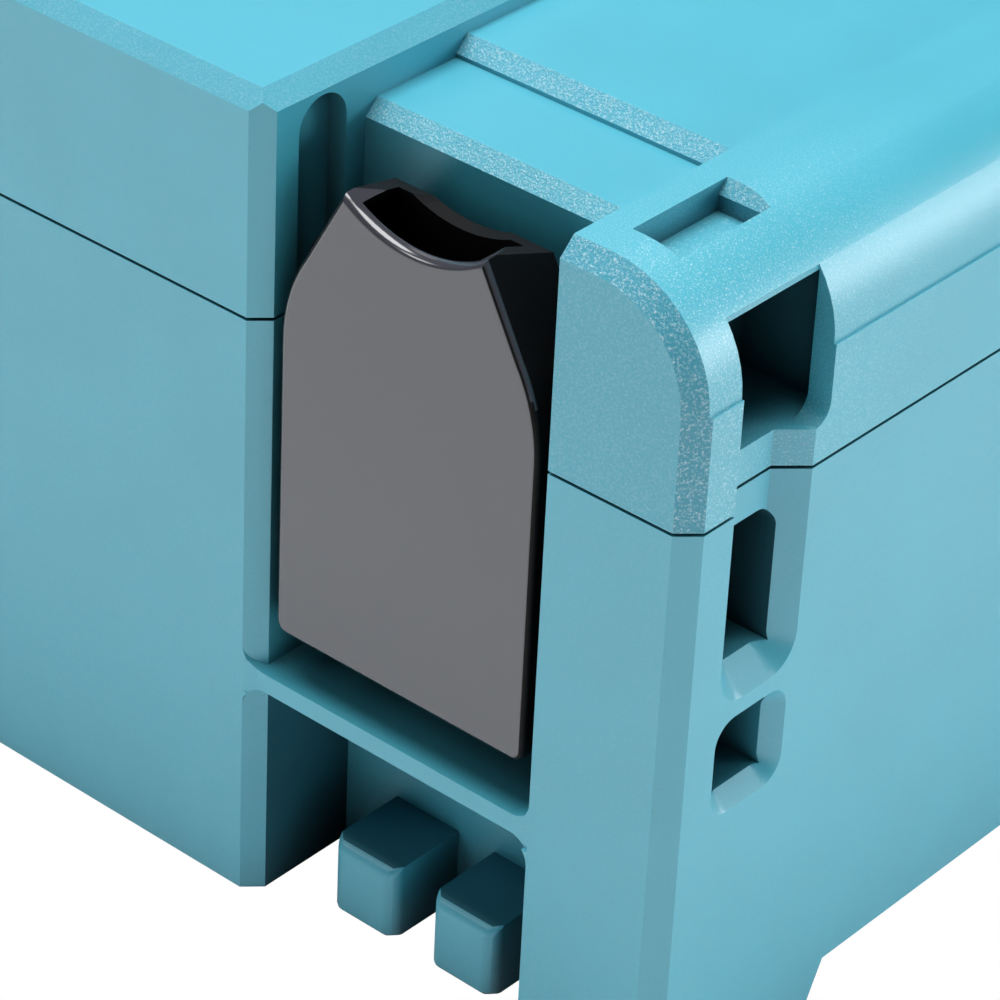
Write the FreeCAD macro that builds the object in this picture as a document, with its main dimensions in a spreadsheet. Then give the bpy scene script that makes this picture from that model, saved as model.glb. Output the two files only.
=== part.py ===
import FreeCAD, Part
import Sketcher
import math
import os

# Stackable tool case: a tub and a hinged lid, four latches at the corners, a carry handle.
# Frame: +X to the right, +Y to the back, +Z up; origin at the middle of the footprint, on the
# surface that the case stands on. Millimetres. The front face is on -Y.

DOC = FreeCAD.newDocument("tool_case")
SHEET = DOC.addObject("Spreadsheet::Sheet", "Sizes")
NODES = []


class Size:
    """A length with both its number and the expression on the sheet that it follows."""

    def __init__(self, value, text):
        self.value = float(value)
        self.text = text

    def __add__(self, other):
        other = as_size(other)
        return Size(self.value + other.value, f"({self.text} + {other.text})")

    def __radd__(self, other):
        return as_size(other) + self

    def __sub__(self, other):
        other = as_size(other)
        return Size(self.value - other.value, f"({self.text} - {other.text})")

    def __rsub__(self, other):
        return as_size(other) - self

    def __mul__(self, other):
        other = as_size(other)
        return Size(self.value * other.value, f"({self.text} * {other.text})")

    def __rmul__(self, other):
        return self * other

    def __truediv__(self, other):
        other = as_size(other)
        return Size(self.value / other.value, f"({self.text} / {other.text})")

    def __neg__(self):
        return Size(-self.value, f"(0 - {self.text})")

    def root(self):
        return Size(math.sqrt(self.value), f"sqrt({self.text})")


def as_size(number):
    return number if isinstance(number, Size) else Size(number, repr(float(number)))


def size(alias, value):
    """Writes one driving dimension to the sheet and returns it."""
    row = size.row = getattr(size, "row", 0) + 1
    SHEET.set(f"A{row}", alias.replace("_", " "))
    SHEET.set(f"B{row}", str(value))
    SHEET.setAlias(f"B{row}", alias)
    return Size(value, f"Sizes.{alias}")


# The case
case_width = size("case_width", 395.0)
case_depth = size("case_depth", 295.0)
case_height = size("case_height", 105.0)
seam_height = size("seam_height", 77.6)
seam_gap = size("seam_gap", 0.4)
wall = size("wall", 2.5)
corner_chamfer = size("corner_chamfer", 2.3)
edge_chamfer = size("edge_chamfer", 2.05)
side_round = size("side_round", 13.5)
round_ledge = size("round_ledge", 0.3)
ledge_height = size("ledge_height", 91.4)
# The latch recesses, and the slots in their side walls
recess_margin = size("recess_margin", 39.2)
recess_width = size("recess_width", 40.8)
recess_depth = size("recess_depth", 16.0)
rear_recess_depth = size("rear_recess_depth", 24.5)
recess_box_wall = size("recess_box_wall", 5.0)
recess_chamfer = size("recess_chamfer", 2.1)
recess_round = size("recess_round", 3.0)
slot_width = size("slot_width", 7.4)
slot_setback = size("slot_setback", 9.25)
slot_depth = size("slot_depth", 2.5)
slot_top = size("slot_top", 102.3)
shelf_top = size("shelf_top", 31.85)
shelf_thickness = size("shelf_thickness", 2.45)
shelf_setback = size("shelf_setback", 0.5)
lug_width = size("lug_width", 9.7)
lug_pitch = size("lug_pitch", 15.2)
lug_height = size("lug_height", 10.0)
lug_setback = size("lug_setback", 4.8)
lug_chamfer = size("lug_chamfer", 1.1)
# The stepped channel across the lid, in line with the latches
channel_drop = size("channel_drop", 3.7)
step_drop = size("step_drop", 6.05)
ridge_run = size("ridge_run", 1.85)
step_back = size("step_back", 30.5)
step_riser = size("step_riser", 0.5)
# The side channels, pockets and openings of the corner posts
channel_near = size("channel_near", 7.2)
channel_far = size("channel_far", 17.0)
channel_depth = size("channel_depth", 3.1)
channel_end = size("channel_end", 52.9)
bar_height = size("bar_height", 2.0)
low_pocket_height = size("low_pocket_height", 12.5)
low_pocket_far = size("low_pocket_far", 19.3)
low_pocket_slope = size("low_pocket_slope", 1.9)
pocket_corner = size("pocket_corner", 1.2)
post_hollow = size("post_hollow", 11.0)
pocket_top = size("pocket_top", 73.0)
pocket_round = size("pocket_round", 2.5)
opening_far = size("opening_far", 22.3)
opening_bottom = size("opening_bottom", 82.2)
opening_top = size("opening_top", 100.1)
opening_rim = size("opening_rim", 1.1)
top_pocket_near = size("top_pocket_near", 6.9)
top_pocket_far = size("top_pocket_far", 20.85)
top_pocket_depth = size("top_pocket_depth", 3.5)
top_pocket_wall = size("top_pocket_wall", 1.9)
top_pocket_slope = size("top_pocket_slope", 1.25)
top_pocket_inset = size("top_pocket_inset", 3.5)
top_pocket_width = size("top_pocket_width", 6.2)
# The underside
rail_depth = size("rail_depth", 28.3)
rail_slope = size("rail_slope", 2.9)
underside = size("underside", 6.1)
rib_spacing = size("rib_spacing", 38.0)
rib_thickness = size("rib_thickness", 2.4)
lip_thickness = size("lip_thickness", 1.4)
lip_height = size("lip_height", 2.6)
lip_clearance = size("lip_clearance", 0.4)
# The latches and their axles
latch_width = size("latch_width", 36.6)
latch_bottom = size("latch_bottom", 38.5)
latch_top = size("latch_top", 97.8)
latch_top_width = size("latch_top_width", 19.6)
latch_setback = size("latch_setback", 0.8)
latch_depth = size("latch_depth", 9.7)
latch_wall = size("latch_wall", 2.0)
latch_corner = size("latch_corner", 1.6)
shoulder_height = size("shoulder_height", 76.8)
shoulder_radius = size("shoulder_radius", 21.0)
shoulder_end = size("shoulder_end", 87.9)
scoop_dip = size("scoop_dip", 3.2)
flange_fall = size("flange_fall", 2.3)
axle_height = size("axle_height", 46.5)
axle_radius = size("axle_radius", 2.0)
axle_boss = size("axle_boss", 4.0)
running_clearance = size("running_clearance", 0.06)
shoe_clearance = size("shoe_clearance", 0.2)
bump_height = size("bump_height", 84.0)
bump_radius = size("bump_radius", 2.0)
# The hinges
knuckle_radius = size("knuckle_radius", 4.0)
hinge_offset = size("hinge_offset", 75.0)
knuckle_length = size("knuckle_length", 20.0)
outer_knuckle_length = size("outer_knuckle_length", 12.0)
knuckle_gap = size("knuckle_gap", 0.3)
knuckle_clearance = size("knuckle_clearance", 0.4)
knuckle_root = size("knuckle_root", 9.0)
hinge_pin_radius = size("hinge_pin_radius", 1.75)
swing_radius = size("swing_radius", 22.5)
# The carry handle and its well
well_width = size("well_width", 164.0)
well_front = size("well_front", -62.0)
well_back = size("well_back", 20.0)
well_depth = size("well_depth", 17.0)
handle_width = size("handle_width", 156.0)
handle_arm = size("handle_arm", 14.0)
handle_reach = size("handle_reach", 48.0)
handle_thickness = size("handle_thickness", 11.0)
handle_pivot = size("handle_pivot", 11.5)
handle_pivot_drop = size("handle_pivot_drop", 8.5)
handle_pin_radius = size("handle_pin_radius", 2.5)
grip_core = size("grip_core", 9.0)
grip_cover = size("grip_cover", 2.6)
grip_margin = size("grip_margin", 6.0)
# Cutters run past the faces that they open by this much
spare = size("spare", 1.0)

front = -case_depth / 2
rear = case_depth / 2 - knuckle_radius
middle = (front + rear) / 2
half_width = case_width / 2
recess_offset = half_width - recess_margin
handle_pivot_height = case_height - handle_pivot_drop
tub_top = seam_height - seam_gap / 2
lid_bottom = seam_height + seam_gap / 2
recess_left = recess_offset - recess_width / 2
recess_right = recess_offset + recess_width / 2
channel_floor = half_width - channel_depth
corner_box_depth = rear_recess_depth + wall
cavity_side = channel_floor - wall
cavity_corner = recess_left - recess_box_wall
hollow_start = recess_right + slot_depth + wall
zero = as_size(0)


def bind(thing, name, value):
    thing.setExpression(name, as_size(value).text)


def place(thing, x, y, z):
    for axis, value in zip("xyz", (x, y, z)):
        bind(thing, f"Placement.Base.{axis}", value)
    return thing


def block(name, low, high):
    """A box between two corners."""
    low = [as_size(value) for value in low]
    high = [as_size(value) for value in high]
    box = DOC.addObject("Part::Box", name)
    for prop, start, end in zip(("Length", "Width", "Height"), low, high):
        bind(box, prop, end - start)
    return place(box, *low)


def rod(name, start, end, y, z, radius):
    """A round bar along X."""
    bar = DOC.addObject("Part::Cylinder", name)
    bar.Placement.Rotation = FreeCAD.Rotation(FreeCAD.Vector(0, 1, 0), 90)
    bind(bar, "Radius", radius)
    bind(bar, "Height", as_size(end) - as_size(start))
    return place(bar, start, y, z)


def corner_arc(start, end, radius, left):
    """The arc from start to end; left tells on which side of the way its centre lies."""
    x0, y0, x1, y1 = start[0].value, start[1].value, end[0].value, end[1].value
    chord = math.hypot(x1 - x0, y1 - y0)
    radius = chord / 2 if radius is None else radius.value
    rise = math.sqrt(max(radius ** 2 - chord ** 2 / 4, 0.0))
    side = 1 if left else -1
    centre_x = (x0 + x1) / 2 - side * rise * (y1 - y0) / chord
    centre_y = (y0 + y1) / 2 + side * rise * (x1 - x0) / chord
    angles = [math.atan2(y - centre_y, x - centre_x) for x, y in ((x0, y0), (x1, y1))]
    if not left:
        angles.reverse()
    circle = Part.Circle(FreeCAD.Vector(centre_x, centre_y, 0), FreeCAD.Vector(0, 0, 1), radius)
    return Part.ArcOfCircle(circle, *angles)


def draw(sketch, outline):
    """Draws a closed outline. A point is (x, y), or (x, y, radius, left) where an arc leads to it;
    the radius is None for a half circle over a level chord."""
    points = [(as_size(point[0]), as_size(point[1])) + tuple(point[2:]) for point in outline]
    ends = []
    for index, point in enumerate(points):
        before = points[index - 1]
        if len(point) == 2:
            flat = [FreeCAD.Vector(end[0].value, end[1].value, 0) for end in (before, point)]
            edge = sketch.addGeometry(Part.LineSegment(*flat), False)
            ends.append((edge, 1, 2))
        else:
            radius = point[2] if point[2] is None else as_size(point[2])
            edge = sketch.addGeometry(corner_arc(before, point, radius, point[3]), False)
            ends.append((edge, 1, 2) if point[3] else (edge, 2, 1))
            if radius is None:
                rule, held = Sketcher.Constraint("DistanceY", -1, 1, edge, 3, point[1].value), point[1]
            else:
                rule, held = Sketcher.Constraint("Radius", edge, radius.value), radius
            sketch.setExpression(f"Constraints[{sketch.addConstraint(rule)}]", held.text)
    for index, (edge, start, end) in enumerate(ends):
        after, after_start, unused = ends[(index + 1) % len(ends)]
        sketch.addConstraint(Sketcher.Constraint("Coincident", edge, end, after, after_start))
        for kind, value in zip(("DistanceX", "DistanceY"), points[index]):
            row = sketch.addConstraint(Sketcher.Constraint(kind, -1, 1, edge, end, value.value))
            sketch.setExpression(f"Constraints[{row}]", value.text)


def prism(name, plane, outline, start, end, taper=None):
    """A body with one pad: an outline on the XY, XZ or YZ plane, carried from start to end, and
    widening on the way by the taper's angle."""
    start, end = as_size(start), as_size(end)
    body = DOC.addObject("PartDesign::Body", name)
    sketch = body.newObject("Sketcher::SketchObject", f"{name}_sketch")
    base = [feature for feature in body.Origin.OriginFeatures if feature.Role == f"{plane}_Plane"]
    sketch.AttachmentSupport = [(base[0], "")]
    sketch.MapMode = "FlatFace"
    draw(sketch, outline)
    pad = body.newObject("PartDesign::Pad", f"{name}_pad")
    pad.Profile = sketch
    bind(pad, "Length", end - start)
    pad.Reversed = plane == "XZ"
    if taper:
        pad.TaperAngle = taper
    shift = {"XY": (0, 0, start), "XZ": (0, start, 0), "YZ": (start, 0, 0)}[plane]
    return place(body, *shift)


def rounded(low, high, radius):
    """The outline of a rectangle with round corners."""
    (left, bottom), (right, top) = [(as_size(x), as_size(y)) for x, y in (low, high)]
    return [(left + radius, bottom, radius, True), (right - radius, bottom),
            (right, bottom + radius, radius, True), (right, top - radius),
            (right - radius, top, radius, True), (left + radius, top),
            (left, top - radius, radius, True), (left, bottom + radius)]


def fuse(name, *parts):
    joined = DOC.addObject("Part::MultiFuse", name)
    joined.Shapes = list(parts)
    return joined


def cut(name, base, *tools):
    result = DOC.addObject("Part::Cut", name)
    result.Base = base
    result.Tool = tools[0] if len(tools) == 1 else fuse(f"{name}_tools", *tools)
    return result


def common(name, *parts):
    shared = DOC.addObject("Part::MultiCommon", name)
    shared.Shapes = list(parts)
    return shared


def mirrored(name, source, normal, base=(0, 0, 0)):
    copy = DOC.addObject("Part::Mirroring", name)
    copy.Source = source
    copy.Normal = FreeCAD.Vector(*normal)
    for axis, value in zip("xyz", base):
        bind(copy, f"Base.{axis}", value)
    return copy


def four_corners(name, source):
    """The tool and its mirror images, to the left and to the rear."""
    pair = fuse(f"{name}_pair", source, mirrored(f"{name}_left", source, (1, 0, 0)))
    return fuse(name, pair, mirrored(f"{name}_rear", pair, (0, 1, 0), (0, middle, 0)))


def both_sides(name, source):
    return fuse(name, source, mirrored(f"{name}_left", source, (1, 0, 0)))


def node(name, thing):
    thing.Label = name
    NODES.append(thing)
    return thing


def footprint():
    """The plan of the case, with its corners cut off."""
    x, y0, y1, c = half_width, front, rear, corner_chamfer
    return [(c - x, y0), (x - c, y0), (x, y0 + c), (x, y1 - c), (x - c, y1), (c - x, y1),
            (-x, y1 - c), (-x, y0 + c)]


def cavity(inset=zero):
    """The plan of the space inside, which goes round the four latch recesses."""
    side, corner = cavity_side - inset, cavity_corner - inset
    y0, y1 = front + wall + inset, rear - wall - inset
    near, far = front + corner_box_depth + inset, rear - corner_box_depth - inset
    right = [(corner, y0), (corner, near), (side, near), (side, far), (corner, far), (corner, y1)]
    return right + [(-x, y) for x, y in reversed(right)]


def recess_plan(depth):
    """The plan of the front right latch recess, with its chamfered inner corner."""
    return [(recess_left - recess_chamfer, front - spare), (recess_right, front - spare),
            (recess_right, front + depth), (recess_left, front + depth),
            (recess_left, front + recess_chamfer), (recess_left - recess_chamfer, front)]


def slot(name, bottom, top, round_bottom, round_top):
    """The upright slot in both side walls of a latch recess."""
    near, far = front + slot_setback - slot_width / 2, front + slot_setback + slot_width / 2
    low = bottom + slot_width / 2 if round_bottom else bottom
    high = top - slot_width / 2 if round_top else top
    outline = [(near, low), (far, low, None, True) if round_bottom else (far, low), (far, high),
               (near, high, None, True) if round_top else (near, high)]
    return prism(name, "YZ", outline, recess_left - slot_depth, recess_right + slot_depth)


def side_channel(name, bottom, top):
    """The shallow channel in the side face beside a corner post, its far wall at 45 degrees."""
    out = half_width + spare
    plan = [(channel_floor, front + channel_near), (out, front + channel_near),
            (out, front + channel_far + channel_depth + spare), (channel_floor, front + channel_far)]
    return prism(name, "XY", plan, bottom, top)


def side_pocket(name, near, far, bottom, top, slope):
    """A pocket in the side face whose walls all slope at 45 degrees, with round corners. The
    limits are those at the face."""
    floor = rounded((front + near + slope, bottom + slope), (front + far - slope, top - slope),
                    pocket_corner)
    return prism(name, "YZ", floor, half_width - slope, half_width + spare / 2, 45)


def make_tub():
    shell = prism("tub_block", "XY", footprint(), zero, tub_top)
    inside = prism("tub_inside", "XY", cavity(), underside + wall, tub_top + spare)
    # The middle of the underside stands clear between a front and a rear rail.
    near, far = front + rail_depth, rear - rail_depth
    under = [(near, -spare), (far, -spare), (far, zero), (far - rail_slope, underside),
             (near + rail_slope, underside), (near, zero)]
    underneath = prism("tub_underside", "YZ", under, -half_width - spare, half_width + spare)
    shelf_bottom = shelf_top - shelf_thickness
    left, right = recess_left - recess_chamfer, recess_right
    high, low, curve = tub_top + spare * 2, -spare * 2, recess_round
    upper_view = [(left + curve, shelf_top, curve, True), (right - curve, shelf_top),
                  (right, shelf_top + curve, curve, True), (right, high), (left, high),
                  (left, shelf_top + curve)]
    lower_view = [(right - curve, shelf_bottom, curve, True), (left + curve, shelf_bottom),
                  (left, shelf_bottom - curve, curve, True), (left, low), (right, low),
                  (right, shelf_bottom - curve)]
    deep = front + recess_depth * 2
    upper = common("tub_recess_upper",
                   prism("tub_recess_upper_plan", "XY", recess_plan(recess_depth),
                         shelf_top - spare, tub_top + spare),
                   prism("tub_recess_upper_view", "XZ", upper_view, front - spare * 2, deep))
    lower = common("tub_recess_lower",
                   prism("tub_recess_lower_plan", "XY", recess_plan(recess_depth), -spare,
                         shelf_bottom + spare),
                   prism("tub_recess_lower_view", "XZ", lower_view, front - spare * 2, deep))
    edge_plan = [(left, front - spare), (right, front - spare), (right, front + shelf_setback),
                 (recess_left, front + shelf_setback), (left, front)]
    shelf_edge = prism("tub_shelf_edge", "XY", edge_plan, shelf_bottom - spare, shelf_top + spare)
    slots = slot("tub_slot", axle_height - slot_width / 2, tub_top + spare, True, False)
    channel_foot = side_pocket("tub_channel_foot", channel_near, channel_far + channel_depth,
                               channel_end, tub_top + spare, channel_depth)
    channel = side_channel("tub_channel", channel_end + channel_depth * 2, tub_top + spare)
    low_top = channel_end - bar_height
    low_bottom = low_top - low_pocket_height
    low_pocket = side_pocket("tub_low_pocket", channel_near, low_pocket_far, low_bottom, low_top,
                             low_pocket_slope)
    post_far = front + channel_far + channel_depth / 4
    hole_bottom, hole_top = channel_end + channel_depth, pocket_top
    hole_near = front + channel_near + channel_depth / 2
    hole = [(hole_near, hole_bottom), (post_far, hole_bottom), (post_far, hole_top - pocket_round),
            (post_far - pocket_round, hole_top, pocket_round, True),
            (hole_near + pocket_round, hole_top), (hole_near, hole_top - pocket_round,
                                                   pocket_round, True)]
    pocket = prism("tub_pocket", "YZ", hole, hollow_start, channel_floor + channel_depth / 2)
    low_hole = block("tub_low_hole", (hollow_start, front + channel_near + low_pocket_slope,
                     low_bottom + low_pocket_slope), (half_width - low_pocket_slope / 2,
                     front + low_pocket_far - low_pocket_slope, low_top - low_pocket_slope))
    core = block("tub_recess_core", (recess_left, front + recess_depth + wall, -spare),
                 (recess_right, front + rear_recess_depth, tub_top - wall * 2))
    cores = both_sides("tub_recess_cores", core)
    post_core = block("tub_post_core", (hollow_start, front + wall, -spare),
                      (channel_floor, front + channel_far, low_bottom - wall))
    corner = fuse("tub_corner", upper, lower, shelf_edge, slots, channel_foot, channel, low_pocket,
                  pocket, low_hole, post_core)
    corners = four_corners("tub_corners", corner)
    deep = [block(f"tub_deep_{index}", (recess_left, rear - rear_recess_depth, low),
                  (recess_right, rear + spare, high))
            for index, (low, high) in enumerate(((shelf_top, tub_top + spare),
                                                 (-spare, shelf_bottom)))]
    rear_recesses = both_sides("tub_rear_recesses", fuse("tub_deep", *deep))
    # Cores between ribs, under both rails
    pockets = []
    for index in range(-3, 4):
        centre = rib_spacing * index
        half = (rib_spacing - rib_thickness) / 2
        low = (centre - half, front + wall, -spare)
        high = (centre + half, front + rail_depth - wall, underside)
        pockets.append(block(f"tub_rail_core_{index + 3}", low, high))
    front_cores = fuse("tub_front_cores", *pockets)
    rear_cores = mirrored("tub_rear_cores", front_cores, (0, 1, 0), (0, middle, 0))
    body = cut("tub_cut", shell, inside, underneath, corners, cores, rear_recesses, front_cores,
               rear_cores)
    # What stands in the recesses, and the lip inside the lid
    def lug(name, left, back):
        low, near, bevel = left, front + lug_setback, lug_chamfer
        plan = [(low + bevel, near), (low + lug_width - bevel, near), (low + lug_width, near + bevel),
                (low + lug_width, back), (low, back), (low, near + bevel)]
        side = [(near, -spare), (back, -spare), (back, lug_height), (near + bevel, lug_height),
                (near, lug_height - bevel)]
        upright = prism(f"{name}_plan", "XY", plan, zero, lug_height)
        return common(name, upright, prism(f"{name}_side", "YZ", side, low - spare,
                                           low + lug_width + spare))

    lugs, deep_lugs = [], []
    for index, side in enumerate((-1, 1)):
        left = recess_offset + lug_pitch / 2 * side - lug_width / 2
        lugs.append(lug(f"tub_lug_{index}", left, front + recess_depth))
        deep_lugs.append(lug(f"tub_deep_lug_{index}", left, front + rear_recess_depth))
    rear_lugs = mirrored("tub_rear_lugs", fuse("tub_deep_lugs", *deep_lugs), (0, 1, 0),
                         (0, middle, 0))
    lug_set = both_sides("tub_lugs", fuse("tub_lugs_right", rear_lugs, *lugs))
    lip_root = tub_top - wall
    lip_outer = prism("tub_lip_outer", "XY", cavity(lip_clearance), lip_root, tub_top + lip_height)
    lip_inner = prism("tub_lip_inner", "XY", cavity(lip_clearance + lip_thickness),
                      lip_root - spare, tub_top + lip_height + spare)
    lip = cut("tub_lip", lip_outer, lip_inner)
    ring_outer = prism("tub_lip_foot_outer", "XY", cavity(-wall / 2), lip_root - wall, tub_top)
    ring_inner = prism("tub_lip_foot_inner", "XY", cavity(lip_clearance + lip_thickness),
                       lip_root - wall - spare, tub_top + spare)
    foot = cut("tub_lip_foot", ring_outer, ring_inner)
    hinge_root = block("tub_hinge_root", (hinge_offset - knuckle_length, rear - knuckle_root,
                       tub_top - knuckle_root * 2), (hinge_offset + knuckle_length,
                       rear - wall / 2, tub_top))
    knuckle = rod("tub_knuckle", hinge_offset - knuckle_length / 2,
                  hinge_offset + knuckle_length / 2, rear, seam_height, knuckle_radius)
    web = block("tub_knuckle_web", (hinge_offset - knuckle_length / 2, rear - wall / 2,
                seam_height - knuckle_root), (hinge_offset + knuckle_length / 2,
                rear + knuckle_radius, seam_height))
    hinge_solid = both_sides("tub_hinges", fuse("tub_hinge", knuckle, web))
    roots = both_sides("tub_hinge_roots", hinge_root)
    room = []
    for index, side in enumerate((-1, 1)):
        inner = hinge_offset + (knuckle_length / 2 + knuckle_gap) * side
        outer = inner + (outer_knuckle_length + knuckle_gap) * side
        low, high = (outer, inner) if side < 0 else (inner, outer)
        room.append(rod(f"tub_knuckle_room_{index}", low - knuckle_gap * (side > 0),
                        high + knuckle_gap * (side < 0), rear, seam_height,
                        knuckle_radius + knuckle_clearance))
    rooms = both_sides("tub_knuckle_rooms", fuse("tub_knuckle_rooms_right", *room))
    bore = rod("tub_pin_bore", hinge_offset - knuckle_length, hinge_offset + knuckle_length,
               rear, seam_height, hinge_pin_radius)
    bores = both_sides("tub_pin_bores", bore)
    gap_half = knuckle_length / 2 + knuckle_gap + outer_knuckle_length + lip_clearance
    lip_gap = block("tub_lip_gap", (hinge_offset - gap_half, rear - knuckle_root - lip_clearance,
                    tub_top), (hinge_offset + gap_half, rear, tub_top + lip_height + spare))
    lip_gaps = both_sides("tub_lip_gaps", lip_gap)
    whole = fuse("tub_whole", cut("tub_notched", fuse("tub_rooted", body, roots, lug_set, lip, foot),
                                  rooms, lip_gaps), hinge_solid)
    return node("base_tub", cut("base_tub", whole, bores))


def make_lid():
    band = prism("lid_band", "XY", footprint(), lid_bottom, ledge_height)
    side = half_width - round_ledge
    top, radius = case_height, side_round
    section = [(-side, lid_bottom), (side, lid_bottom), (side, top - radius),
               (side - radius, top, radius, True), (radius - side, top),
               (-side, top - radius, radius, True)]
    crown = prism("lid_crown", "XZ", section, front, rear)
    DOC.recompute()
    pad = crown.Tip
    ends = (front.value, rear.value)
    rims = []
    for index, edge in enumerate(pad.Shape.Edges):
        box = edge.BoundBox
        flat = box.YLength < 0.001 and min(abs(box.YMin - end + front.value) for end in ends) < 0.001
        if flat and box.ZMax > lid_bottom.value + 0.001:
            rims.append(f"Edge{index + 1}")
    chamfer = crown.newObject("PartDesign::Chamfer", "lid_crown_chamfer")
    chamfer.Base = (pad, rims)
    bind(chamfer, "Size", edge_chamfer)
    crown.Tip = chamfer
    shell = fuse("lid_block", band, crown)
    # The space inside, which stays under the channels and round the handle well
    roof = case_height - step_drop - wall
    inside = prism("lid_inside", "XY", cavity(), lid_bottom - spare, roof)
    high_roof = block("lid_high_roof", (-cavity_corner, front + wall * 2, lid_bottom),
                      (cavity_corner, rear - wall * 2, case_height - wall))
    well_low = case_height - well_depth
    keep = block("lid_well_keep", (-well_width / 2 - wall, well_front - wall, well_low - wall),
                 (well_width / 2 + wall, well_back + wall, case_height + spare))
    hollow = cut("lid_hollow", fuse("lid_spaces", inside, high_roof), keep)
    well = prism("lid_well", "XY", rounded((-well_width / 2, well_front),
                 (well_width / 2, well_back), wall * 2), well_low, case_height + spare)
    # One front corner: the recess, its slot, the stepped channel, pockets and side opening
    recess = prism("lid_recess", "XY", recess_plan(recess_depth), lid_bottom - spare,
                   case_height + spare)
    slots = slot("lid_slot", lid_bottom - spare, slot_top, False, True)
    step, floor = case_height - step_drop, case_height - channel_drop
    back = front + recess_depth
    upper = case_height + spare
    steps = [(front - spare, step - ridge_run), (back, step - ridge_run), (back + ridge_run, step),
             (front + step_back, step), (front + step_back, step + step_riser),
             (front + step_back + floor - step - step_riser, floor), (middle + spare, floor),
             (middle + spare, upper), (front - spare, upper)]
    channel = prism("lid_channel", "YZ", steps, recess_left, recess_right)
    bevel = [(recess_left - recess_chamfer, case_height), (recess_left, case_height - recess_chamfer),
             (recess_left + spare, case_height - recess_chamfer), (recess_left + spare, upper),
             (recess_left - recess_chamfer, upper)]
    channel_edge = prism("lid_channel_edge", "XZ", bevel, front - spare, middle + spare)
    low_channel = side_channel("lid_side_channel", lid_bottom - spare, opening_bottom + spare / 2)
    near, far = front + channel_near, front + opening_far
    window = [(near, opening_bottom), (far - pocket_round, opening_bottom),
              (far, opening_bottom + pocket_round, pocket_round, True), (far, opening_top),
              (near, opening_top)]
    opening = prism("lid_opening", "YZ", window, channel_floor, half_width + spare)
    space = block("lid_post_hollow", (hollow_start, front + wall * 2, opening_bottom),
                  (channel_floor + spare / 10, far + wall, opening_top - opening_rim))
    floor_z = case_height - top_pocket_depth
    near, far = front + top_pocket_near, front + top_pocket_far
    pocket = [(near, floor_z), (far, floor_z), (far, floor_z + top_pocket_wall),
              (far + top_pocket_slope, case_height), (far + top_pocket_slope, upper), (near, upper)]
    pocket_left = recess_right + top_pocket_inset
    top_pocket = prism("lid_top_pocket", "YZ", pocket, pocket_left, pocket_left + top_pocket_width)
    corner = fuse("lid_corner", recess, slots, channel, channel_edge, low_channel, opening, space,
                  top_pocket)
    corners = four_corners("lid_corners", corner)
    swing = both_sides("lid_swings", rod("lid_swing", recess_left, recess_right, rear, seam_height,
                                         swing_radius))
    body = cut("lid_cut", shell, hollow, well, corners, swing)
    root_out = knuckle_length / 2 + knuckle_gap + outer_knuckle_length
    root = block("lid_hinge_root", (hinge_offset - root_out, rear - knuckle_root, lid_bottom),
                 (hinge_offset + root_out, rear - wall / 2, lid_bottom + knuckle_root))
    roots = both_sides("lid_hinge_roots", root)
    room = rod("lid_knuckle_room", hinge_offset - knuckle_length / 2 - knuckle_gap,
               hinge_offset + knuckle_length / 2 + knuckle_gap, rear, seam_height,
               knuckle_radius + knuckle_clearance)
    rooms = both_sides("lid_knuckle_rooms", room)
    solids = []
    for index, direction in enumerate((-1, 1)):
        near_end = hinge_offset + (knuckle_length / 2 + knuckle_gap) * direction
        far_end = near_end + outer_knuckle_length * direction
        low, high = (far_end, near_end) if direction < 0 else (near_end, far_end)
        solids.append(rod(f"lid_knuckle_{index}", low, high, rear, seam_height, knuckle_radius))
        solids.append(block(f"lid_knuckle_web_{index}", (low, rear - wall / 2, seam_height),
                            (high, rear + knuckle_radius, seam_height + knuckle_root)))
    knuckles = both_sides("lid_knuckles", fuse("lid_knuckles_right", *solids))
    whole = fuse("lid_whole", cut("lid_notched", fuse("lid_rooted", body, roots), rooms), knuckles)
    pin_out = knuckle_length / 2 + knuckle_gap + outer_knuckle_length + spare
    bore = rod("lid_pin_bore", hinge_offset - pin_out, hinge_offset + pin_out, rear, seam_height,
               hinge_pin_radius + running_clearance)
    pin_hole = rod("lid_handle_bore", well_width / 2 - spare, well_width / 2 + wall + spare,
                   handle_pivot, handle_pivot_height, handle_pin_radius)
    holes = both_sides("lid_bores", fuse("lid_bores_right", bore, pin_hole))
    return node("lid_shell", cut("lid_shell", whole, holes))


def latch_outline(inset=zero, open_top=False):
    """Half width and height of the latch's plate: straight sides, arched shoulders, scooped top."""
    half, top_half = latch_width / 2 - inset, latch_top_width / 2 - inset
    low = latch_bottom + inset
    corner = latch_corner - inset / 2
    rise = shoulder_end - shoulder_height
    radius = shoulder_radius
    lean = radius - (radius * radius - rise * rise).root()
    shoulder = half - lean
    crown = top_half
    chord = latch_top_width / 2
    scoop = (chord * chord + scoop_dip * scoop_dip) / (scoop_dip * 2)
    points = [(corner - half, low, corner, True), (half - corner, low),
              (half, low + corner, corner, True),
              (half, shoulder_height), (shoulder, shoulder_end, radius, True), (crown, latch_top)]
    if open_top:
        points += [(crown, latch_top + latch_wall * 2), (-crown, latch_top + latch_wall * 2),
                   (-crown, latch_top)]
    else:
        points += [(-crown, latch_top, scoop, False)]
    points += [(-shoulder, shoulder_end), (-half, shoulder_height, radius, True),
               (-half, low + corner)]
    return points


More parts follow.
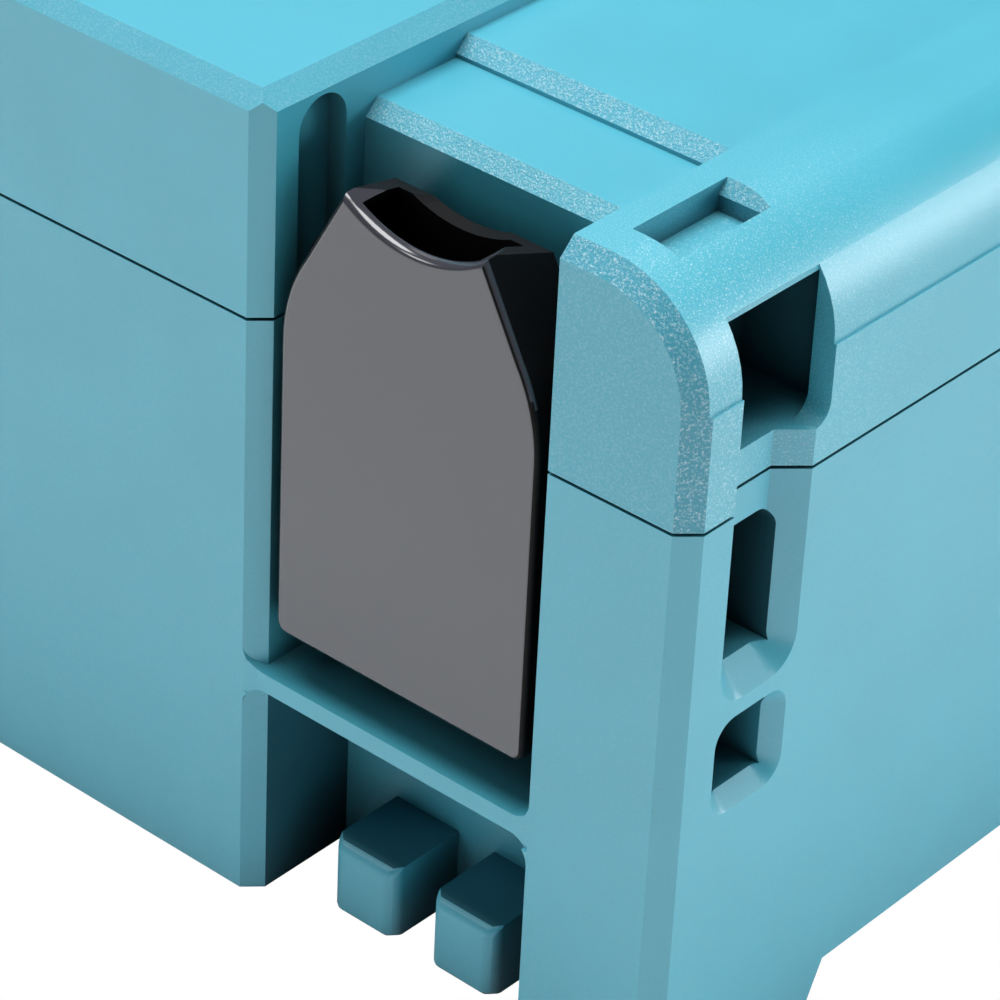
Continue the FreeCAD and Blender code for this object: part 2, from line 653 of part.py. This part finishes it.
def make_latch(place_name, side, plane, turn):
    """One latch: scooped plate, flanges and rear plate in one moulding, on its axle and shoes."""
    name = f"latch_{place_name}"
    face, back = latch_setback, latch_setback + latch_depth
    outer = prism(f"{name}_outer", "XZ", latch_outline(), face, back)
    inner = prism(f"{name}_inner", "XZ", latch_outline(latch_wall, True), face + latch_wall,
                  back - latch_wall)
    fall = [(face + latch_wall, latch_top), (back, latch_top - flange_fall),
            (back + spare, latch_top - flange_fall), (back + spare, latch_top + spare),
            (face + latch_wall, latch_top + spare)]
    rear_drop = prism(f"{name}_fall", "YZ", fall, -latch_width / 2, latch_width / 2)
    heel = block(f"{name}_heel", (-latch_width, back - latch_depth / 2, latch_bottom - spare),
                 (latch_width, back + spare, axle_height - axle_boss))
    hollow = cut(f"{name}_hollow", outer, inner, rear_drop, heel)
    half = latch_width / 2
    boss = rod(f"{name}_boss", -half, half, slot_setback, axle_height, axle_boss)
    bump = rod(f"{name}_bump", half - latch_wall * 1.5, recess_width / 2 - spare, slot_setback - spare,
               bump_height, bump_radius)
    bumps = both_sides(f"{name}_bumps", bump)
    bore = rod(f"{name}_bore", -latch_width, latch_width, slot_setback, axle_height,
               axle_radius + running_clearance)
    lever = cut(name, fuse(f"{name}_solid", hollow, boss, bumps), bore)
    reach = recess_width / 2 + slot_depth - shoe_clearance
    centre, behind = recess_offset * side, slot_setback * (-1 if turn else 1)
    inner = recess_width / 2 + shoe_clearance
    axle = rod(f"axle_{place_name}", centre - inner, centre + inner, plane + behind, axle_height,
               axle_radius)
    node(f"latch_axle_{place_name}", axle)
    shoe = rod(f"{name}_shoe", recess_width / 2 + shoe_clearance, reach, slot_setback, axle_height,
               slot_width / 2 - shoe_clearance)
    shoes = both_sides(f"shoes_{place_name}", shoe)
    for label, thing in ((name, lever), (f"slide_shoes_{place_name}", shoes)):
        thing.Placement.Rotation = FreeCAD.Rotation(FreeCAD.Vector(0, 0, 1), turn)
        node(label, place(thing, centre, plane, zero))


def make_hinge_pins():
    reach = knuckle_length / 2 + knuckle_gap + outer_knuckle_length
    for name, side in (("left", -1), ("right", 1)):
        centre = hinge_offset * side
        pin = rod(f"hinge_pin_{name}", centre - reach, centre + reach, rear, seam_height,
                  hinge_pin_radius)
        node(f"hinge_pin_{name}", pin)


def make_handle():
    half, arm = handle_width / 2, handle_arm
    low = handle_pivot_height - handle_thickness / 2
    high = handle_pivot_height + handle_thickness / 2
    tip = handle_pivot - handle_reach
    bend = arm / 2
    plan = [(bend - half, tip, bend, True), (half - bend, tip), (half, tip + bend, bend, True),
            (half, handle_pivot), (half - arm, handle_pivot), (half - arm, tip + arm),
            (arm - half, tip + arm), (arm - half, handle_pivot), (-half, handle_pivot),
            (-half, tip + bend)]
    bail = prism("handle_bail_block", "XY", plan, low, high)
    grip_half = half - arm - grip_margin
    trim = (arm - grip_core) / 2
    thin = (handle_thickness - grip_core) / 2 + spare / 2
    waist = [block(f"handle_trim_{index}", (-grip_half, y0, z0), (grip_half, y1, z1))
             for index, (y0, y1, z0, z1) in enumerate((
                 (tip - spare, tip + trim, low - spare, high + spare),
                 (tip + arm - trim, tip + arm + spare, low - spare, high + spare),
                 (tip - spare, tip + arm + spare, low - spare, low + thin),
                 (tip - spare, tip + arm + spare, high - thin, high + spare)))]
    hub = rod("handle_hub", half - arm, half, handle_pivot, handle_pivot_height,
              handle_thickness / 2)
    hubs = both_sides("handle_hubs", hub)
    bore = rod("handle_bore", -half - spare, half + spare, handle_pivot, handle_pivot_height,
               handle_pin_radius + running_clearance)
    node("carry_handle", cut("carry_handle", fuse("handle_solid", cut("handle_waisted", bail, *waist),
                                                  hubs), bore))
    middle_y = tip + arm / 2
    cover_y, cover_z = grip_core / 2 + grip_cover, handle_thickness / 2 - thin + grip_cover
    cover = prism("grip_cover_block", "YZ", rounded((middle_y - cover_y, handle_pivot_height - cover_z),
                  (middle_y + cover_y, handle_pivot_height + cover_z), grip_cover * 2),
                  -grip_half, grip_half)
    core = block("grip_core_block", (-grip_half - spare, tip + trim, low + thin),
                 (grip_half + spare, tip + arm - trim, high - thin))
    node("handle_grip_cover", cut("handle_grip_cover", cover, core))
    for name, side in (("left", -1), ("right", 1)):
        inner = (half - arm + spare) * side
        outer = (well_width / 2 + wall) * side
        start, end = (outer, inner) if side < 0 else (inner, outer)
        pin = rod(f"handle_pin_{name}", start, end, handle_pivot, handle_pivot_height,
                  handle_pin_radius)
        node(f"handle_pin_{name}", pin)


make_tub()
make_lid()
for corner_name, corner_side, corner_plane, corner_turn in (
        ("front_right", 1, front, 0), ("front_left", -1, front, 0),
        ("rear_right", 1, rear, 180), ("rear_left", -1, rear, 180)):
    make_latch(corner_name, corner_side, corner_plane, corner_turn)
make_hinge_pins()
make_handle()
DOC.recompute()

for feature in DOC.Objects:
    if "Invalid" in feature.State or "Error" in feature.State:
        raise RuntimeError(f"{feature.Name} failed: {feature.State}")
os.makedirs("parts", exist_ok=True)
for part in NODES:
    if part.Shape.isNull() or not part.Shape.isValid():
        raise RuntimeError(f"{part.Label} has no valid shape")
    part.Shape.exportStep(f"parts/{part.Label}.step")
    box = part.Shape.BoundBox
    print(f"{part.Label}: {len(part.Shape.Solids)} solids, {part.Shape.Volume / 1000:.1f} cm3, "
          f"Z {box.ZMin:.2f} to {box.ZMax:.2f}")
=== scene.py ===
import bpy, bmesh, math
from mathutils import Matrix, Vector


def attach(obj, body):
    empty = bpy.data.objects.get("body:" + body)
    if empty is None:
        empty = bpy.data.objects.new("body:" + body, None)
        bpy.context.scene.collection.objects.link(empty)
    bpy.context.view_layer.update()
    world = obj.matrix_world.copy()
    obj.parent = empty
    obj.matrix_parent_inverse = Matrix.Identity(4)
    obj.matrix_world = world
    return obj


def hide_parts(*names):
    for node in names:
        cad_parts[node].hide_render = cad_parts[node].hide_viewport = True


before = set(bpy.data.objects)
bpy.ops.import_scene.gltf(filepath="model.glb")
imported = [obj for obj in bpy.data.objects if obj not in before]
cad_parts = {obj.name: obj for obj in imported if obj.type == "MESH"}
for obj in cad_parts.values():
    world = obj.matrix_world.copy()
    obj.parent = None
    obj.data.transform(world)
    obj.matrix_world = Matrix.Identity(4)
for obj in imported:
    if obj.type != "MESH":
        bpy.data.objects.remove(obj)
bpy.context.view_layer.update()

# The photograph's view: a lens of 159 mm close above the right front corner, looking down on the
# latch between the lid's plateau and the corner post.
camera = bpy.data.objects.new("camera", bpy.data.cameras.new("camera"))
bpy.context.scene.collection.objects.link(camera)
bpy.context.scene.camera = camera
camera.data.lens = 159.37
camera.data.sensor_width = 36
camera.data.clip_start, camera.data.clip_end = 0.01, 30
camera.rotation_mode = "QUATERNION"
camera.matrix_world = Matrix((
    (0.75142152, -0.3874494, 0.53408676, 0.418569),
    (0.65852173, 0.38956605, -0.64388464, -0.444133),
    (0.04141065, 0.8355365, 0.54787217, 0.323736),
    (0, 0, 0, 1)))
bpy.context.scene.view_settings.view_transform = "Standard"


# Base tub and lid shell: two injection mouldings in teal ABS, from steel tools with a soft
# spark-eroded finish and a coarser one on the ridges and round the corner blocks. Every edge is
# broken by half a millimetre, as a tool leaves it.
def colour(hex_code):
    """Linear colour of an sRGB hex value."""
    parts = [int(hex_code[i:i + 2], 16) / 255 for i in (1, 3, 5)]
    return [c / 12.92 if c <= 0.04045 else ((c + 0.055) / 1.055) ** 2.4 for c in parts] + [1.0]


def node(material, kind, settings=None, **links):
    """Adds a node, sets its properties or sockets, and links outputs to its sockets."""
    made = material.node_tree.nodes.new(kind)
    for name, value in (settings or {}).items():
        if name in made.inputs:
            made.inputs[name].default_value = value
        else:
            setattr(made, name, value)
    for name, source in links.items():
        by_number = name[0] == "i" and name[1:].isdigit()
        socket = made.inputs[int(name[1:])] if by_number else made.inputs[name]
        material.node_tree.links.new(source, socket)
    return made


def new_material(name):
    """A material with an empty node tree."""
    material = bpy.data.materials.new(name)
    material.use_nodes = True
    material.node_tree.nodes.clear()
    return material


def moulded(name, base, roughness, level, grain_mm, relief_mm, glint=0.0, dull=0.42, corners=False):
    """Moulded plastic with a spark-eroded grain of about its real size, darkened where closed in:
    painted shade.

    glint: how pale the peaks of the grain are painted, as painted glints; dull: the noise level under
    which none is; corners: the painted glints fade out away from the four corners of the case."""
    material = new_material(name)
    place = node(material, "ShaderNodeTexCoord").outputs["Object"]
    grain = node(material, "ShaderNodeTexNoise", {"Scale": 1000 / grain_mm, "Detail": 4.0,
                 "Roughness": 0.7}, Vector=place)
    cloud = node(material, "ShaderNodeTexNoise", {"Scale": 60.0, "Detail": 3.0}, Vector=place)
    tone = node(material, "ShaderNodeValToRGB", Fac=cloud.outputs["Fac"])
    for element, position, shade in zip(tone.color_ramp.elements, (0.3, 0.7), (0.97, 1.03)):
        element.position = position
        element.color = [min(1, c * shade) for c in colour(base)[:3]] + [1]
    shown = tone.outputs["Color"]
    # Painted glints: the peaks of the grain are mixed towards a pale cyan white, painted highlights.
    if glint:
        peaks = node(material, "ShaderNodeMapRange", {"From Min": dull, "From Max": 0.7,
                     "To Min": 0.0, "To Max": glint}, Value=grain.outputs["Fac"])
        if corners:
            axes = node(material, "ShaderNodeSeparateXYZ", None, i0=place)
            for axis, start, end in ((0, 0.168, 0.186), (1, 0.1, 0.14)):
                size = node(material, "ShaderNodeMath", {"operation": "ABSOLUTE"},
                            i0=axes.outputs[axis])
                near = node(material, "ShaderNodeMapRange", {"From Min": start, "From Max": end},
                            Value=size.outputs[0])
                peaks = node(material, "ShaderNodeMath", {"operation": "MULTIPLY"},
                             i0=peaks.outputs[0], i1=near.outputs["Result"])
        painted_glint = node(material, "ShaderNodeMix", {"data_type": "RGBA"}, i0=peaks.outputs[0], i6=shown)
        painted_glint.inputs[7].default_value = colour("#E4F8FB")
        shown = painted_glint.outputs[2]
    # Painted shade: ambient occlusion darkens the colour in recesses, gaps and corners, to a tenth where
    # closed in.
    air = node(material, "ShaderNodeAmbientOcclusion", {"Distance": 0.018, "samples": 8})
    painted_shade = node(material, "ShaderNodeMapRange", {"interpolation_type": "SMOOTHSTEP", "From Min": 0.04,
                "From Max": 0.6, "To Min": 0.1, "To Max": 1.0}, Value=air.outputs["AO"])
    painted_shade_colour = node(material, "ShaderNodeVectorMath", {"operation": "SCALE"}, i0=shown,
                Scale=painted_shade.outputs["Result"])
    relief = node(material, "ShaderNodeBump", {"Strength": 1.0, "Distance": relief_mm / 1000},
                  Height=grain.outputs["Fac"])
    shader = node(material, "ShaderNodeBsdfPrincipled", {"Roughness": roughness, "IOR": 1.5,
                  "Specular IOR Level": level}, Normal=relief.outputs["Normal"])
    material.node_tree.links.new(painted_shade_colour.outputs[0], shader.inputs["Base Color"])
    node(material, "ShaderNodeOutputMaterial", Surface=shader.outputs["BSDF"])
    return material


def softened(name, body, width_mm, materials, shape_it=None, choose=None):
    """A merged copy of a CAD node whose edges are broken by a small bevel; choose gives the slot."""
    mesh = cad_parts[name].data.copy()
    shape = bmesh.new()
    shape.from_mesh(mesh)
    bmesh.ops.remove_doubles(shape, verts=shape.verts, dist=1e-6)
    bmesh.ops.dissolve_limit(shape, angle_limit=math.radians(0.6), verts=shape.verts,
                             edges=shape.edges)
    if shape_it:
        shape_it(shape)
    mesh.materials.clear()
    for material in materials:
        mesh.materials.append(material)
    for face in shape.faces:
        face.smooth = True
        face.material_index = choose(face) if choose else 0
    shape.to_mesh(mesh)
    shape.free()
    piece = bpy.data.objects.new(f"{name}_shell", mesh)
    bpy.context.scene.collection.objects.link(piece)
    bevel = piece.modifiers.new("broken_edges", "BEVEL")
    bevel.width, bevel.segments = width_mm / 1000, 2
    bevel.limit_method, bevel.angle_limit = "ANGLE", math.radians(28)
    bevel.use_clamp_overlap = True
    flat = piece.modifiers.new("flat_faces", "WEIGHTED_NORMAL")
    flat.weight, flat.keep_sharp = 100, True
    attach(piece, body)
    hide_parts(name)
    return piece


def rounded(shape, wanted, radius_mm, segments, clamp):
    """Rounds the sharp edges of a mesh whose ends pass a test."""
    edges = [edge for edge in shape.edges
             if len(edge.link_faces) == 2 and edge.calc_face_angle(0) > 0.5
             and wanted([vert.co for vert in edge.verts])]
    bmesh.ops.bevel(shape, geom=edges, offset=radius_mm / 1000, segments=segments, profile=0.5,
                    affect="EDGES", clamp_overlap=clamp)


lug_middle, lug_reach = 0.1583, 0.0126      # a pair of stacking lugs, across the case


def lug_edge(ends):
    """Whether an edge belongs to the stacking lugs under the latches, which a stack rubs on."""
    return all(end.z < 0.0101 and abs(abs(end.x) - lug_middle) < lug_reach
               and (-0.1431 < end.y < -0.1325 or 0.1285 < end.y < 0.1391) for end in ends)


def in_core(face):
    """Whether a face lies in the cores behind the corner posts' side openings."""
    spot = face.calc_center_median()
    across = 0.1815 < abs(spot.x) < 0.1941
    along = -0.1426 < spot.y < -0.1221 or 0.118 < spot.y < 0.139
    return across and along and 0.008 < spot.z < 0.0995 and face.normal.z < 0.7


def tub_zone(face):
    """Slot of a tub face: 1, the painted shade, in the posts' cores, on the walls under the shelves and
    on lug tops.
    """
    spot = face.calc_center_median()
    wall = abs(face.normal.x) > 0.9 and spot.z < 0.0295 and 0.12 < abs(spot.x) < 0.15
    lug_top = (face.normal.z > 0.9 and spot.z < 0.0105
               and abs(abs(spot.x) - lug_middle) < lug_reach)
    return 1 if (abs(spot.y) > 0.11 and (wall or lug_top)) or in_core(face) else 0


def lid_zone(face):
    """Slot of a lid face: 1 and 2 on the corner blocks, 3, the painted shade, in their cores, 4 on the
    ridges.
    """
    spot, turn = face.calc_center_median(), face.normal
    across, sloped = abs(spot.x), 0.25 < turn.z < 0.98
    if across > 0.165 and spot.y < -0.142 and -0.95 < turn.y < -0.3:
        return 1
    if sloped and abs(turn.x) < 0.1 and across > 0.137 and spot.z > 0.09:
        return 4
    if across > 0.1785 and turn.y < -0.95 and spot.y < -0.14:
        return 2
    if in_core(face):
        return 3
    return 2 if sloped and spot.z > 0.1 and across < 0.18 else 0


# ABS from a spark-eroded tool: soft and matt, teal, with next to no painted glints.
case_teal = moulded("abs_spark_eroded", "#41A6BC", 0.42, 0.95, 0.3, 0.008, 0.03)
# The same ABS on the lid, with a deeper grain and pale painted glints on its peaks that fade out away
# from the corners.
lid_teal = moulded("abs_lid_painted_glints", "#41A8BE", 0.38, 0.95, 0.2, 0.03, 0.6, 0.53, True)
# Coarse grain on the arcs round the corner blocks: dark teal, with pale painted glints on its peaks.
coarse_teal = moulded("abs_coarse_painted_glints", "#2E9AB3", 0.3, 0.75, 0.3, 0.16, 0.6, 0.5)
# Middling grain on the blocks' front faces and the plateau's edges: an even, greyish shimmer of painted
# glints.
block_teal = moulded("abs_block_painted_glints", "#38A1B8", 0.4, 0.9, 0.24, 0.06, 0.16, 0.48)
# Coarse grain on the ridges across the lid's channels, with painted light: a paler base colour, as they
# face the light, and pale painted glints on its peaks.
ridge_teal_painted_light = moulded("abs_ridge_painted_light", "#44AEC6", 0.32, 0.9, 0.26, 0.14, 0.6, 0.49)
# The same ABS with a dark base colour, painted shade, on the closed-in walls of cores, under the shelves
# and on lug tops, so that the openings read as deep.
painted_shade_teal = moulded("abs_painted_shade_walls", "#2B6371", 0.6, 0.2, 0.4, 0.01)

tub = softened("base_tub", "tub", 0.45, [case_teal, painted_shade_teal],
               lambda shape: rounded(shape, lug_edge, 0.7, 3, True), tub_zone)
lid = softened("lid_shell", "lid", 0.45, [lid_teal, coarse_teal, block_teal, painted_shade_teal, ridge_teal_painted_light],
               None, lid_zone)


# Four latches, moulded in black ABS in a polished tool: a thick plate with a scooped top rim. Each
# slides on two black shoes and tilts on a steel axle, held in the side walls of its recess.
def plate_edge(ends, outside):
    """Whether an edge is on the plate's outline or on the back of the scoop's rim."""
    depth = [abs(end.y - outside) for end in ends]
    rim = max(abs(d - 0.002) for d in depth) < 0.0001 and min(end.z for end in ends) > 0.0942
    return max(depth) < 0.0001 or rim


def latch_zone(face, outside):
    """Slot of a latch face: 0 on the polished plate and its rim, greyed as painted reflection, 1 on
    flanks and inside.
    """
    spot, turn = face.calc_center_median(), face.normal
    depth = abs(spot.y - outside)
    flank = abs(turn.x) > 0.25 and turn.z < 0.3
    rim = turn.z > 0.3 and spot.z > 0.094 and depth < 0.003
    return 0 if not flank and (depth < 0.0007 or rim) else 1


# Polished black ABS with a grey base colour, a painted reflection of the pale floor that it also
# mirrors, and a bright line along its rim.
latch_grey_painted_reflection = moulded("abs_polished_black_painted_reflection", "#393A42", 0.17, 1.0, 0.8, 0.001)
# The same black, straight from the tool: flanks and inside stay deep black.
flank_black = moulded("abs_plain_black", "#0E0E10", 0.5, 0.12, 0.4, 0.004)
latch_places = ("front_right", "front_left", "rear_right", "rear_left")
for place in latch_places:
    outside = -0.1467 if "front" in place else 0.1427
    latch = softened(f"latch_{place}", f"latch_{place}", 0.25, [latch_grey_painted_reflection, flank_black],
                     lambda shape: rounded(shape, lambda ends: plate_edge(ends, outside), 0.8, 4, False),
                     lambda face: latch_zone(face, outside))
    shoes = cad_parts[f"slide_shoes_{place}"]
    shoes.data.materials.clear()
    shoes.data.materials.append(latch_grey_painted_reflection)

# Steel pins, drawn wire cut to length: the latch axles, the hinge pins through the knuckles and
# the handle's pins. They show as small bright ends.
steel = new_material("drawn_steel_wire")
shader = node(steel, "ShaderNodeBsdfPrincipled", {"Base Color": colour("#B9BABC"), "Metallic": 1.0,
              "Roughness": 0.3})
node(steel, "ShaderNodeOutputMaterial", Surface=shader.outputs["BSDF"])
pins = [f"latch_axle_{place}" for place in latch_places]
pins += ["hinge_pin_left", "hinge_pin_right", "handle_pin_left", "handle_pin_right"]
for name in pins:
    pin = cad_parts[name]
    pin.data.materials.clear()
    pin.data.materials.append(steel)

# The carry handle: one moulding in the case's ABS, a bail that swings on its two pins. A soft
# rubber grip is moulded round its bar, matt and black so that it reads as soft.
handle = softened("carry_handle", "handle", 0.8, [case_teal])
rubber = moulded("soft_grip_rubber", "#1B1B1C", 0.7, 0.4, 0.8, 0.02)
grip = softened("handle_grip_cover", "handle", 0.5, [rubber])

# The floor: a pale matt sheet under the case, lit like any other, and white to the camera.
floor_mesh = bpy.data.meshes.new("floor")
shape = bmesh.new()
bmesh.ops.create_grid(shape, x_segments=1, y_segments=1, size=6.0)
bmesh.ops.translate(shape, verts=shape.verts, vec=(0, 0, -0.0002))
shape.to_mesh(floor_mesh)
shape.free()
floor = bpy.data.objects.new("floor", floor_mesh)
bpy.context.scene.collection.objects.link(floor)
paper = new_material("pale_paper")
seen = node(paper, "ShaderNodeLightPath")
matt = node(paper, "ShaderNodeBsdfDiffuse", {"Color": colour("#F4F4F4")})
glow = node(paper, "ShaderNodeEmission", {"Color": (1, 1, 1, 1), "Strength": 1.0})
mix = node(paper, "ShaderNodeMixShader", None, i0=seen.outputs["Is Camera Ray"], i1=matt.outputs[0],
           i2=glow.outputs[0])
node(paper, "ShaderNodeOutputMaterial", Surface=mix.outputs[0])
floor_mesh.materials.append(paper)

# The room: dim all round, so that faces turned from the lamps stay dark, and white to the camera.
world = bpy.data.worlds.new("studio")
bpy.context.scene.world = world
world.use_nodes = True
world.node_tree.nodes.clear()
seen = node(world, "ShaderNodeLightPath")
lit = node(world, "ShaderNodeBackground", {"Color": (1, 1, 1, 1), "Strength": 0.10})
white = node(world, "ShaderNodeBackground", {"Color": (1, 1, 1, 1), "Strength": 1.0})
mix = node(world, "ShaderNodeMixShader", None, i0=seen.outputs["Is Camera Ray"], i1=lit.outputs[0],
           i2=white.outputs[0])
node(world, "ShaderNodeOutputWorld", Surface=mix.outputs[0])


# The lamps: a broad softbox above, a strong one low at the right back, weak ones front and back left.
def softbox(name, where, aim, size, power):
    """A round area lamp that faces its aim; size in metres, power in watts."""
    lamp = bpy.data.objects.new(name, bpy.data.lights.new(name, "AREA"))
    bpy.context.scene.collection.objects.link(lamp)
    lamp.data.shape, lamp.data.size, lamp.data.energy = "DISK", size, power
    lamp.location = where
    lamp.rotation_mode = "QUATERNION"
    lamp.rotation_quaternion = (Vector(aim) - Vector(where)).to_track_quat("-Z", "Y")


softbox("softbox_above", (-0.3, 0.1, 3.0), (0, 0, 0), 2.8, 140)
softbox("softbox_right", (2.0, 1.8, 0.55), (0, 0, 0.05), 1.0, 35)
softbox("softbox_front", (-1.4, -1.5, 1.6), (0, 0, 0.05), 0.9, 10)
softbox("softbox_back", (-1.9, 1.93, 1.64), (0, 0, 0.1), 1.0, 2)
